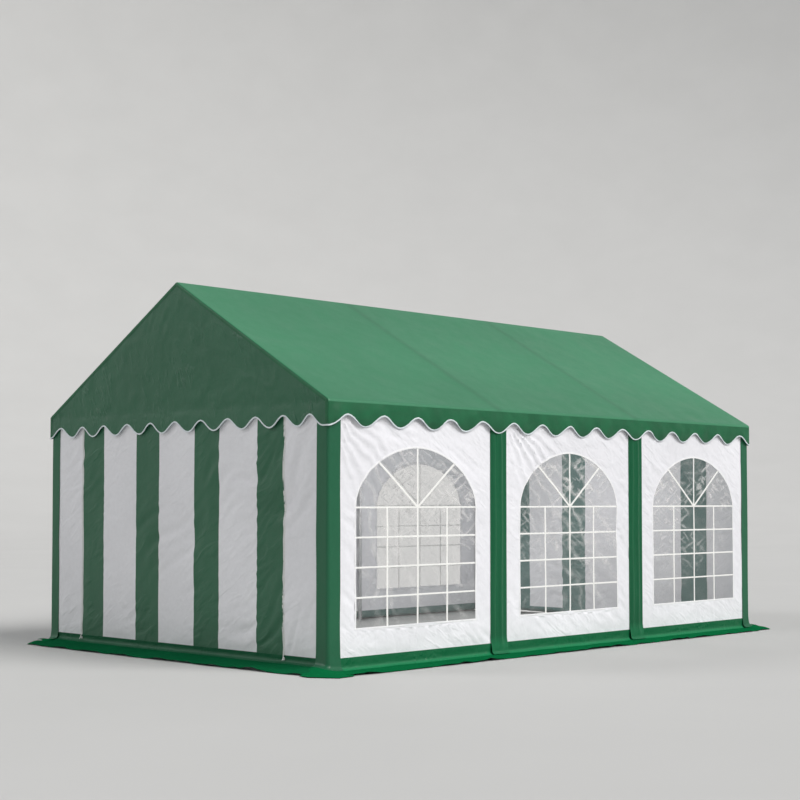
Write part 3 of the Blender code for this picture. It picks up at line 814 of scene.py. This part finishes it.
def pane_painted_glare(bay, along, z):
    """How much painted glare a window's clear sheet gets where the wall's folds run on over it: whiter, less clear film
    in place of the light the folds catch.
    """
    seed = bay_seed(bay)
    pull = 0.0
    for i, (*start, reach, depth) in enumerate(WALL_FANS[bay]):
        fan = (*start, reach * 2.2, depth / 0.012)
        pull += max(0.0, pull_folds(along, z, fan, seed + i)) * (0.6 + grain(along, z, 0.09, seed + 11))
    return min(0.30, max(0.0, 0.42 * pull))


def arch_line(margin):
    """The window's outline from sill to sill over the arch, this much outside the hole."""
    half, rise = WINDOW_HALF + margin, WINDOW_RISE + margin
    up = [(half, z) for z in spaced(WINDOW_SILL - margin, WINDOW_SPRING, 8)[:-1]]
    over = []
    for angle in spaced(0.0, math.pi, 36):
        across = math.copysign(abs(math.cos(angle)) ** (2 / ARCH_POWER), math.cos(angle))
        over.append((half * across, WINDOW_SPRING + rise * max(0.0, math.sin(angle)) ** (2 / ARCH_POWER)))
    return [*up, *over, *[(-a, b) for a, b in reversed(up)]]


def straight(start, end, steps=16):
    return list(zip(spaced(start[0], end[0], steps), spaced(start[1], end[1], steps)))


def glazing_lines():
    """The uprights with the centre bar and the two rays of the arch, and the rows."""
    ups = [straight((x, WINDOW_SILL), (x, WINDOW_SPRING)) for x in (-0.5 * WINDOW_HALF, 0.5 * WINDOW_HALF)]
    ups.append(straight((0.0, WINDOW_SILL), (0.0, WINDOW_SPRING + WINDOW_RISE), 24))
    for side in (1, -1):
        tip = (side * WINDOW_HALF * RAY_TIP[0], WINDOW_SPRING + WINDOW_RISE * RAY_TIP[1])
        ups.append(straight((0.0, WINDOW_SPRING), tip))
    heights = spaced(WINDOW_SILL, WINDOW_SPRING, BAR_ROWS)[1:]
    return ups, [straight((-WINDOW_HALF, z), (WINDOW_HALF, z), 24) for z in heights]


def long_wall(bay, middle, turn, low_end, high_end):
    """One white panel with its arched window, border tape, bars and seams."""
    side, number = bay.split("_")
    window = f"{side}_window_{number}"

    def at(out):
        return lambda along, z: Vector((HALF_WIDTH + out + wall_relief(bay, along, z), middle + along, z))

    def trim(label, tree, lines, finish, **sizes):
        lines = [[at(out)(a, b) for a, b in line] for line, out in lines]
        return follow(f"{window}_{label}", tree, lines, finish, turn=turn, **sizes)

    outline = [(low_end, WALL_FOOT), (high_end, WALL_FOOT), (high_end, WALL_TOP), (low_end, WALL_TOP)]
    wall = make_sheet(f"{side}_wall_{number}_sheet", cut_mesh(outline, [arch_line(0.0)[::-1]], 0.021, at(0.0)),
                      [WALL_WHITE_PAINTED_LIGHT], [f"{side}_wall_{number}"], turn)
    front = -CLOTH - GAP
    film = cut_mesh(arch_line(FILM_LAP), [], 0.02, at(front))
    # Painted glare, kept on the film's points as the attribute pull
    painted_glare_values = film.attributes.new("pull", "FLOAT", "POINT")
    for vertex, pull in zip(film.vertices, painted_glare_values.data):
        pull.value = pane_painted_glare(bay, vertex.co.y - middle, vertex.co.z)
    film = make_sheet(f"{window}_film", film, [CLEAR], [window], turn, FILM)
    ups, rows = glazing_lines()
    bars = [
        trim("uprights", WINDOW_TAPE, [(line, front + TAPE * 0.9) for line in ups], BAR_WHITE,
             Width=UPRIGHT_WIDTH, Thickness=TAPE, Step=0.04),
        trim("rows", WINDOW_TAPE, [(line, front + TAPE * 0.55) for line in rows], BAR_WHITE,
             Width=ROW_WIDTH, Thickness=TAPE, Step=0.04),
    ]
    sill_z = WINDOW_SILL - BORDER_WIDTH / 2 + 0.002
    reach = WINDOW_HALF + BORDER_WIDTH - 0.002
    sill = straight((-reach, sill_z), (reach, sill_z), 30)
    edging = [
        trim("border", WINDOW_TAPE, [(arch_line(BORDER_WIDTH / 2 - 0.002), TAPE * 0.6), (sill, TAPE * 0.9)],
             BORDER_WHITE, Width=BORDER_WIDTH, Thickness=TAPE * 1.3, Step=0.03),
        trim("stitches", STITCHES, [(arch_line(BORDER_WIDTH * 0.35), TAPE * 1.3)], THREAD_WHITE,
             Thread=0.0009, **SEAM),
    ]


# End walls

DOOR_FANS = [(1.46, 1.95, 218, 28, 3, 0.50, 0.016), (1.46, 1.52, 218, 28, 3, 0.46, 0.015),
             (1.46, 0.98, 214, 28, 3, 0.46, 0.015), (1.30, 1.10, 40, 40, 4, 0.80, 0.007),
             (1.44, 0.24, 142, 38, 4, 0.45, 0.006), (-1.46, 1.10, 30, 36, 4, 0.50, 0.007),
             (-1.44, 0.50, 42, 36, 4, 0.55, 0.006), (0.62, 0.02, 62, 34, 4, 0.60, 0.005)]
DOOR_SLANT = 36
DOOR_ROWS = 78
ZIP_GAP = 0.004                # from the middle of the zip to the cloth on each side


def zip_drift(side, z, seed):
    """How far the zip wanders sideways."""
    return 0.0070 * grain(z, side * 3.0, 0.38, seed) + 0.003 * grain(z, side * 5.0, 0.14, seed + 1)


def end_relief(x, z, seed):
    small = 0.0100 * slanted_folds(x, z, DOOR_SLANT, 0.12, seed + 2)
    small += 0.0026 * packing_creases(x * 1.1 + z * 0.5, z * 0.8, 0.22, seed)
    slow = 0.0065 * grain(x * 1.6, z * 0.9 - x * 0.6, 0.5, seed + 7)
    waver = 0.0045 * grain(z, x, 0.24, seed + 9) * hump(abs(x), ZIP_X, 0.10)
    slack = blend(0.55, 1.0, soft((x + 0.4) / 1.3))
    relief = (fan_folds(x, z, DOOR_FANS, seed) + small + slow) * slack + waver
    return under_covers(relief, abs(x) - HALF_WIDTH + CORNER_WIDTH, z)


def end_columns(start, end, pitch=0.024):
    return spaced(start, end, max(1, round((end - start) / pitch)))


def drifted(x, z, seed):
    """Moves points beside a zip with it, and lets the stripes wander a little."""
    near = hump(abs(x), ZIP_X, 0.05)
    wander = 0.0022 * grain(z, x * 0.5, 0.26, seed + 12) * (1 - near) * soft((HALF_WIDTH - abs(x)) / 0.2)
    return x + zip_drift(1 if x > 0 else -1, z, seed) * near + wander


def end_wall(end, turn, seed):
    """The striped door panel, the side strips and the header, with both zips."""
    edges = [-ZIP_X]
    widths = [GREEN_STRIPE, WHITE_STRIPE] * 3 + [GREEN_STRIPE]
    for width in widths:
        edges.append(edges[-1] + width * 2 * ZIP_X / sum(widths))
    columns, tints = [], []
    for index, (start, stop) in enumerate(zip(edges, edges[1:])):
        part = end_columns(start, stop)[:-1]
        columns += part
        tints += [index % 2] * len(part)
    columns.append(ZIP_X)

    def point(x, z):
        """A point of the wall. Each seam has a step where one stripe lies over the next."""
        beside = [(x - seam) * (1 if number % 2 else -1) for number, seam in enumerate(edges[1:-1])]
        step = 0.0009 if any(0.0 <= run < 0.014 for run in beside) else 0.0
        return Vector((drifted(x, z, seed), -HALF_LENGTH - step - end_relief(x, z, seed), z))

    def panel(name, places, low, high, count, finishes, node, tone=None):
        rows = [[point(x, z) for x in places] for z in spaced(low, high, count)]
        sheet = make_sheet(name, net_mesh(rows, tone=tone), finishes, [node], turn)

    inset = [min(max(x, -ZIP_X + ZIP_GAP), ZIP_X - ZIP_GAP) for x in columns]
    panel(f"{end}_door_sheet", inset, WALL_FOOT, DOOR_TOP, DOOR_ROWS, [STRIPE_GREEN, WHITE, INNER_GREEN, WHITE],
          f"{end}_door_panel", lambda row, column: tints[column])
    inner, outer = ZIP_X + ZIP_GAP, HALF_WIDTH - COVERED
    for label, low, high in (("right", inner, outer), ("left", -outer, -inner)):
        panel(f"{end}_wall_{label}_strip", end_columns(low, high), WALL_FOOT, WALL_TOP, DOOR_ROWS, [WHITE],
              f"{end}_wall")
    panel(f"{end}_wall_header", end_columns(-ZIP_X - 0.003, ZIP_X + 0.003, 0.05), DOOR_TOP + 0.001, WALL_TOP, 4,
          [WHITE], f"{end}_wall")
    for side, label in ((1, "right"), (-1, "left")):
        name = f"{end}_zip_{label}"

        def zip_line(shift, out):
            line = []
            for z in spaced(0.06, DOOR_TOP, 80):
                x = side * ZIP_X + zip_drift(side, z, seed) + shift
                line.append(Vector((x, -HALF_LENGTH - out - end_relief(x, z, seed), z)))
            return line

        follow(f"{name}_teeth", TEETH, [zip_line(0.0, 0.0012)], ZIP_TEETH, turn=turn)
        tape = [[left.lerp(right, share) for share in spaced(0.0, 1.0, 4)]
                for left, right in zip(zip_line(-0.012, 0.0004), zip_line(0.012, 0.0004))]
        make_sheet(f"{name}_tape", net_mesh(tape), [ZIP_WHITE], (), turn, 0.0006)
        follow(f"{name}_stitches", STITCHES, [zip_line(-0.0085, 0.0012), zip_line(0.0085, 0.0012)],
               THREAD_WHITE, turn=turn, Thread=0.0009, **SEAM)
        zip_pull(f"{name}_pull", side, turn, seed)


def zip_pull(name, side, turn, seed):
    """The slider at the foot of the zip, with its fabric pull hanging over the base band."""
    z = 0.112
    x = side * ZIP_X + zip_drift(side, z, seed)
    y = -HALF_LENGTH - 0.004
    bm = bmesh.new()
    slider = bmesh.ops.create_cube(bm, size=1.0)["verts"]
    bmesh.ops.scale(bm, vec=(0.011, 0.0065, 0.016), verts=slider)
    bmesh.ops.translate(bm, vec=(x, y, z), verts=slider)
    rows = []
    for drop in spaced(0.0, 1.0, 14):
        out = 0.006 + 0.016 * drop ** 1.6
        sway = 0.004 * math.sin(drop * 2.5)
        centre = Vector((x + side * 0.003 + sway, y - out, z - 0.004 - PULL_LENGTH * drop))
        rows.append([centre + Vector((0.0052 * a, -0.0012 * (1 - a * a), 0.0)) for a in (-1, -0.5, 0, 0.5, 1)])
    front, back = ([[bm.verts.new(p + Vector((0.0, deep, 0.0))) for p in row] for row in rows]
                   for deep in (0.0, 0.0014))
    last = len(rows) - 1
    for k in range(last):
        for i in range(4):
            bm.faces.new((front[k][i], front[k + 1][i], front[k + 1][i + 1], front[k][i + 1]))
            bm.faces.new((back[k][i], back[k][i + 1], back[k + 1][i + 1], back[k + 1][i]))
        for i in (0, 4):
            bm.faces.new((front[k][i], back[k][i], back[k + 1][i], front[k + 1][i]))
    for k in (0, last):
        for i in range(4):
            bm.faces.new((front[k][i], front[k][i + 1], back[k][i + 1], back[k][i]))
    bmesh.ops.recalc_face_normals(bm, faces=bm.faces)
    mesh = bpy.data.meshes.new(name)
    bm.to_mesh(mesh)
    bm.free()
    piece = add_piece(name, mesh, [ZIP_WHITE], turn)
    round_off = piece.modifiers.new("edges", "BEVEL")
    round_off.width = 0.0006
    round_off.segments = 2
    settle(piece, smooth_below=35.0)


# Base band and ground flap

def flap_lift(along, out, seed):
    """Height of the flap's upper face over the ground: it ripples, and its edge lifts in places."""
    reach = soft((out - 0.05) / 0.2)
    ripple = 0.0028 * (1 + grain(along, out, 0.13, seed)) * soft((out - 0.03) / 0.05)
    lift = 0.020 * max(0.0, 0.25 + grain(along, 1.0, 0.24, seed + 2)) * reach
    curl = 0.012 * max(0.0, 0.2 + grain(along, 2.0, 0.08, seed + 3)) * reach
    return CLOTH + 0.0012 + ripple + lift + curl


def skirt(name, at_end, turn, seed):
    """Band, crease and flap, made for the right side, or for the front when it is at an end."""
    face, run = (HALF_LENGTH, HALF_WIDTH) if at_end else (HALF_WIDTH, HALF_LENGTH)
    half_run = run - COVERED
    crease, bend = CREASES[at_end], BENDS[at_end]
    bend_top = crease + bend
    profile = [(blend(0.0030, -0.0008, soft(i / 6)), blend(BAND_TOP + 0.003, bend_top, i / 6)) for i in range(6)]
    for angle in spaced(0.0, math.radians(80), 8):
        profile.append((bend * (1 - math.cos(angle)) - 0.0008, bend_top - bend * math.sin(angle)))
    first_out, first_z = profile[-1]
    places = spaced(-half_run, half_run, 132 if at_end else 210)
    rows = []
    for out, z in profile:
        row = []
        for along in places:
            wobble = 0.0030 * grain(along, z, 0.22, seed + 5) + 0.0022 * grain(along, 0.0, 0.7, seed + 6)
            wobble += 0.0034 * slanted_folds(along, z, 35, 0.045, seed + 8)
            rise = 0.0040 * grain(along, 3.0, 0.3, seed) * soft((0.10 - z) / 0.05)
            row.append((face + out + wobble * soft((0.105 - z) / 0.04), along, z + rise))
        rows.append(row)
    for out in (0.054, 0.075, 0.10, 0.13, 0.16, 0.19, 0.215, 0.235, 0.25, 0.262, FLAP):
        row = []
        edge = soft((out - 0.15) / 0.12)
        slope = (first_z - 0.004) * (1 - (out - first_out) / (FLAP - first_out)) ** 1.15 if out < FLAP else 0.0
        for along in places:
            reach = out + edge * (0.012 * grain(along, 5.0, 0.33, seed) + 0.009 * grain(along, 6.0, 0.10, seed) - 0.005)
            reach -= 0.030 * edge * soft((abs(along) - half_run + 0.30) / 0.30)
            ends = soft((abs(along) - half_run + 0.10) / 0.10) * out / FLAP * 0.015
            row.append((face + reach - 0.004 * edge, along + math.copysign(ends, along),
                        slope + flap_lift(along, out, seed)))
        rows.append(row)
    if at_end:
        rows = [[(y, -x, z) for x, y, z in row] for row in rows]
    # At the ends the band and flap take darker copies of the cloth: painted shade
    finishes = [SKIRT_GREEN_PAINTED_SHADE, FLAP_GREEN_PAINTED_SHADE] if at_end else [SKIRT_GREEN_PAINTED_HIGHLIGHT, FLAP_GREEN]
    band_rows = len(profile) - 1
    mesh = net_mesh(rows, flip=True, tone=lambda row, column: int(row >= band_rows))
    piece = make_sheet(f"{name}_skirt_sheet", mesh, [*finishes, INNER_GREEN, INNER_GREEN],
                       [f"{name}_base_band", f"{name}_ground_flap"], turn)


# Covers over the posts

def post_cover(name, y, turn, seed):
    """A green strip over a middle post: bulged, and turned out over the crease at its foot."""
    bend = BENDS[0]
    bend_top = CREASES[0] + bend
    spots = [(bend * (1 - math.cos(angle)), bend_top - (bend - 0.004) * math.sin(angle))
             for angle in spaced(math.radians(70), 0.0, 6)]
    spots += [(0.0, blend(bend_top, WALL_TOP - 0.002, (k / 92) ** 1.2)) for k in range(1, 93)]
    rows = []
    for foot_out, z in spots:
        row = []
        for across in spaced(-COVER_HALF + 0.008, COVER_HALF - 0.002, 26):
            share = abs(across) / COVER_HALF
            bulge = 0.015 * math.cos(math.pi / 2 * min(1.0, share * 1.15)) ** 2 if share < 0.87 else 0.0
            bulge *= 1.0 - 0.75 * soft((0.14 - z) / 0.1)
            ripple = 0.0030 * grain(across * 5, z, 0.5, seed) + 0.0020 * grain(across * 2.5, z, 0.16, seed + 1)
            ripple += 0.0080 * math.sin(across * 72.0 + 1.6 * grain(z, 0.0, 0.8, seed + 4)) * soft((z - 0.06) / 0.12)
            ripple = max(ripple, -0.004) * soft((1.0 - share) * 4)
            out = COVER_OUT + bulge + ripple + foot_out + 0.018 * soft((0.17 - z) / 0.13)
            edge = math.copysign(0.0025 * grain(z, across, 0.5, seed + 2) * soft(share * 3 - 2), across)
            row.append(Vector((HALF_WIDTH + out, y + across + edge, z)))
        rows.append(row)
    piece = make_sheet(f"{name}_sheet", net_mesh(rows), [POST_GREEN_PAINTED_LIGHT, INNER_GREEN], [name], turn)


# The outer edge of a corner piece on the ground, from the corner of the walls. One lies spread out
# and the other three are drawn in.
WIDE_RIM = ((-0.02, -0.272), (0.085, -0.283), (0.283, -0.150), (0.275, 0.02))
NARROW_RIM = ((-0.02, -0.248), (0.03, -0.235), (0.235, -0.03), (0.248, 0.02))
CORNER_ROWS = 84


def corner_cover(name, place, end_first, seed):
    """The cover bent round a corner, flaring into the corner piece of the ground flap."""
    centre = COVER_OUT - CORNER_RADIUS
    spots = [(a, -COVER_OUT, 0.0, -1.0) for a in spaced(-CORNER_WIDTH, centre, 9)[:-1]]
    for angle in spaced(-math.pi / 2, 0.0, 12):
        nx, ny = math.cos(angle), math.sin(angle)
        spots.append((centre + CORNER_RADIUS * nx, -centre + CORNER_RADIUS * ny, nx, ny))
    spots += [(COVER_OUT, b, 1.0, 0.0) for b in spaced(-centre, CORNER_WIDTH, 9)[1:]]
    last = len(spots) - 1
    rim = [Vector(p) for p in (WIDE_RIM if name == "corner_cover_front_right" else NARROW_RIM)]
    lengths = [(end - start).length for start, end in zip(rim, rim[1:])]

    def on_rim(share):
        run = share * sum(lengths)
        for start, end, length in zip(rim, rim[1:], lengths):
            if run <= length + 1e-9:
                return start.lerp(end, run / length)
            run -= length
        return rim[-1]

    way = -1 if end_first else 1
    bends = [blend(*BENDS[::way], soft(i / last)) + 0.006 for i in range(last + 1)]
    feet = [blend(*CREASES[::way], soft(i / last)) + 0.005 + bends[i] for i in range(last + 1)]
    rows = []
    for k in range(CORNER_ROWS + 1):
        row = []
        for i, (x, y, nx, ny) in enumerate(spots):
            z = blend(WALL_TOP - 0.001, feet[i], k / CORNER_ROWS)
            ripple = 0.0014 * grain(i * 0.05, z, 0.4, seed) + 0.0016 * grain(i * 0.02, z, 0.9, seed + 1)
            push = ripple + 0.011 * max(0.0, (0.16 - z) / 0.11) ** 2
            edge = 0.0070 * grain(z, i // 16 * 4.0, 0.40, seed + 3) * soft(abs(2 * i / last - 1) * 4 - 3)
            row.append(Vector((x + nx * push - ny * edge, y + ny * push + nx * edge, z)))
        rows.append(row)
    base = rows[-1]
    for angle in spaced(0.0, math.radians(80), 7)[1:]:
        row = []
        for (_, _, nx, ny), start, bend in zip(spots, base, bends):
            out = bend * (1 - math.cos(angle))
            row.append(start + Vector((nx * out, ny * out, -bend * math.sin(angle))))
        rows.append(row)
    ring = rows[-1]
    for share in spaced(0.0, 1.0, 9)[1:]:
        row = []
        for i, start in enumerate(ring):
            spot = start.xy.lerp(on_rim(i / last), share)
            wave = 0.0035 * grain(i * 0.06, share, 0.3, seed + 5) * share
            rim_z = 0.0075 + 0.003 * max(0.0, grain(i * 0.1, 1.0, 0.25, seed + 6))
            drop = blend(start.z, rim_z, 1 - (1 - share) ** 1.15)
            row.append(Vector((*spot, drop + wave * 0.4)))
        rows.append(row)
    mesh = net_mesh(rows, flip=True, tone=lambda row, column: int(row >= CORNER_ROWS + 7))
    piece = make_sheet(f"{name}_sheet", mesh, [COVER_GREEN, FLAP_GREEN, INNER_GREEN, INNER_GREEN], [name],
                       place)


# The tent

def make_tent():
    ends = (("front", STRAIGHT, "roof_frame_1"), ("back", HALF_TURN, "roof_frame_4"))
    roof = roof_sheet()
    gables = [gable_sheet(end, turn, seed) for seed, (end, turn, _) in enumerate(ends, start=21)]
    binding = follow("valance_binding", HEM_TAPE, [hem_line(0.0045, 0.0)], BINDING, closed=True,
                     Width=BIND_WIDTH, Thickness=BIND_THICK, Step=0.011, Round=0.0018)
    seam = follow("valance_binding_stitches", STITCHES, [hem_line(0.0082, BIND_THICK / 2)], THREAD_WHITE,
                  closed=True, Thread=0.0010, **SEAM)
    skirts = (("right", False, STRAIGHT), ("left", False, HALF_TURN), ("front", True, STRAIGHT),
              ("back", True, HALF_TURN))
    for seed, (name, at_end, turn) in enumerate(skirts, start=31):
        skirt(name, at_end, turn, seed)
    bay = POST_Y - 0.0002
    for number, middle in ((1, -2.0), (2, 0.0), (3, 2.0)):
        low = -POST_Y + COVERED if number == 1 else -bay
        high = POST_Y - COVERED if number == 3 else bay
        long_wall(f"right_{number}", middle, STRAIGHT, low, high)
        long_wall(f"left_{4 - number}", middle, HALF_TURN, low, high)
    for seed, (end, turn, _) in enumerate(ends, start=41):
        end_wall(end, turn, seed)
    for number, y in ((2, -POST_Y), (3, POST_Y)):
        post_cover(f"right_post_cover_{number}", y, STRAIGHT, 50 + number)
        post_cover(f"left_post_cover_{number}", -y, HALF_TURN, 60 + number)
    corners = (("front_right", 1, -1), ("back_right", 1, 1), ("back_left", -1, 1), ("front_left", -1, -1))
    for quarter, (name, way_x, way_y) in enumerate(corners):
        place = Matrix.Translation((way_x * HALF_WIDTH, way_y * HALF_LENGTH, 0.0))
        place = place @ Matrix.Rotation(math.pi / 2 * quarter, 4, "Z")
        corner_cover(f"corner_cover_{name}", place, quarter % 2 == 0, 71 + quarter)
    for name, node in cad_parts.items():
        if "frame" in name or "purlin" in name or ("post" in name and "cover" not in name):
            for slot in node.material_slots:
                slot.material = STEEL


# Floor, light and camera

def add_lamp(name, kind, power, tint):
    light = bpy.data.lights.new(name, kind)
    light.energy = power
    light.color = tint
    return light, add_object(name, light)


def make_stage():
    """A pale floor that curves up into a backdrop all round."""
    sweep = [(radius, 0.0) for radius in (0.02, 6.0, 20.0, 36.0)]
    sweep += [(36.0 + 52.0 * math.sin(turn), 52.0 * (1 - math.cos(turn)))
              for turn in (math.radians(5 * i) for i in range(1, 17))]
    turns = spaced(0.0, 2 * math.pi, 96)
    rows = [[Vector((radius * math.cos(turn), radius * math.sin(turn), z)) for turn in turns] for radius, z in sweep]
    mesh = net_mesh(rows, flip=True)
    mesh.name = "floor"
    mesh.shade_smooth()
    add_piece("floor", mesh, [matt_floor()])
    world = bpy.data.worlds.new("studio")
    world.use_nodes = True
    back = world.node_tree.nodes["Background"]
    back.inputs["Color"].default_value = (0.955, 0.975, 1.0, 1.0)
    back.inputs["Strength"].default_value = 0.35
    bpy.context.scene.world = world
    suns = {
        "key": (2.62, 34, (1.0, 0.985, 0.975), (0.80, 0.24, 0.78)),
        "fill": (0.60, 20, (1.0, 0.99, 1.0), (-0.66, -0.62, 0.62)),
    }
    for name, (power, width, tint, towards) in suns.items():
        sun, lamp = add_lamp(name, "SUN", power, tint)
        sun.angle = math.radians(width)
        lamp.rotation_euler = Vector(towards).to_track_quat("Z", "Y").to_euler()
    for name, y in (("inside_1", -1.5), ("inside_2", 1.5)):
        glow, lamp = add_lamp(name, "POINT", 38.0, (1.0, 0.945, 0.955))
        glow.shadow_soft_size = 0.5
        lamp.location = (0.0, y, 1.45)
        lamp.visible_camera = False


def make_camera():
    camera = bpy.data.cameras.new("camera")
    camera.lens = 70.03
    camera.sensor_width = 36.0
    camera.shift_y = 0.0472
    camera.clip_end = 500.0
    stand = add_object("camera", camera)
    yaw, pitch = math.radians(44.13), math.radians(2.34)
    stand.location = (10.589, -11.185, 1.318)
    stand.rotation_euler = (math.pi / 2 + pitch, 0.0, yaw)
    bpy.context.scene.camera = stand


make_stage()
make_camera()
make_tent()
bpy.context.scene.view_settings.view_transform = "Standard"
